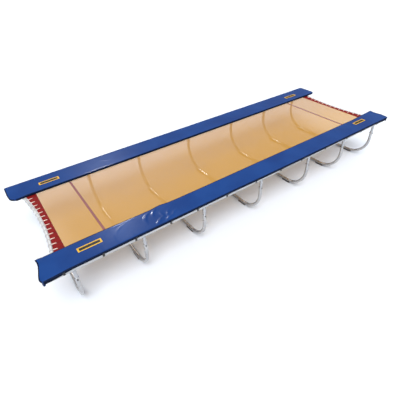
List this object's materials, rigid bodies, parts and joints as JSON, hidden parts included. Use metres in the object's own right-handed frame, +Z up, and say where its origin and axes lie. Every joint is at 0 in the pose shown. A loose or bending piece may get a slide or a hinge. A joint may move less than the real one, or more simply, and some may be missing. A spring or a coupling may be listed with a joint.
{
  "type": "tumbling track",
  "caption": "Long low trampoline track: a sprung mesh bed between two padded rails on U-shaped floor hoops.",
  "frame": {"origin": "on the floor, at the middle of the track", "axes": "+X along the track, +Y across it towards the far side, +Z up"},
  "size_m": [5.98, 2, 0.7408],
  "materials": {
    "rail_steel": "bright zinc",
    "end_tube_steel": "light grey powder coat",
    "plug_plastic": "moulded",
    "bolt_steel": "dark zinc",
    "stub_chrome": "bright drawn tube",
    "hoop_steel": "satin zinc",
    "foot_rubber": "ribbed",
    "strap_webbing": "woven webbing",
    "loop_rubber": "textile covered",
    "bed_mesh": "woven mesh",
    "marking_tape": "woven tape",
    "end_band_fabric": "heavy webbing",
    "rod_steel": "drawn bar",
    "hem_webbing": "woven webbing",
    "pad_vinyl": "coated vinyl fabric",
    "pad_foam": "open foam",
    "underside_fabric": "coarse backing",
    "label_print": "printed film"
  },
  "bodies": {
    "frame": {"near_side_rail": "rail_steel", "far_side_rail": "rail_steel", "rail_plugs": "plug_plastic", "left_end_tube": "end_tube_steel", "right_end_tube": "end_tube_steel", "end_tube_flanges": "rail_steel", "flange_bolts": "bolt_steel", "near_leg_stubs": "stub_chrome", "far_leg_stubs": "stub_chrome", "floor_hoop_1": "hoop_steel", "floor_hoop_2": "hoop_steel", "floor_hoop_3": "hoop_steel", "floor_hoop_4": "hoop_steel", "floor_hoop_5": "hoop_steel", "floor_hoop_6": "hoop_steel", "floor_hoop_7": "hoop_steel", "hoop_bolts": "bolt_steel", "hoop_nuts": "bolt_steel", "rubber_feet": "foot_rubber", "near_lacing_bar": "rail_steel", "near_bar_lugs": "rail_steel", "near_pad_straps": "strap_webbing", "near_side_loops": "loop_rubber", "far_lacing_bar": "rail_steel", "far_bar_lugs": "rail_steel", "far_pad_straps": "strap_webbing", "far_side_loops": "loop_rubber", "left_end_loops": "loop_rubber", "right_end_loops": "loop_rubber"},
    "bed": {"jumping_bed": "bed_mesh", "left_marking_line": "marking_tape", "left_end_band": "end_band_fabric", "left_end_rod": "rod_steel", "right_marking_line": "marking_tape", "right_end_band": "end_band_fabric", "right_end_rod": "rod_steel", "near_edge_hem": "hem_webbing", "near_hem_rod": "rod_steel", "far_edge_hem": "hem_webbing", "far_hem_rod": "rod_steel"},
    "near_pad": {"near_pad_cover": "pad_vinyl", "near_pad_foam": "pad_foam", "near_pad_underside": "underside_fabric", "near_pad_corner_flaps": "pad_vinyl", "near_pad_labels": "label_print"},
    "far_pad": {"far_pad_cover": "pad_vinyl", "far_pad_foam": "pad_foam", "far_pad_underside": "underside_fabric", "far_pad_corner_flaps": "pad_vinyl", "far_pad_labels": "label_print"}
  },
  "joints": [
    {"name": "bed_bounce", "type": "slide", "parent": "frame", "child": "bed", "axis": [0, 0, -1], "range_m": [0, 0.3], "stiffness_N_per_m": 4000, "springref_m": -0.0353, "deforming": ["near_side_loops", "far_side_loops", "left_end_loops", "right_end_loops"]},
    {"name": "near_pad_flip", "type": "hinge", "parent": "frame", "child": "near_pad", "pos_m": [0, -1, 0.714], "axis": [1, 0, 0], "range_deg": [0, 260]},
    {"name": "far_pad_flip", "type": "hinge", "parent": "frame", "child": "far_pad", "pos_m": [0, 1, 0.714], "axis": [-1, 0, 0], "range_deg": [0, 260]}
  ]
}
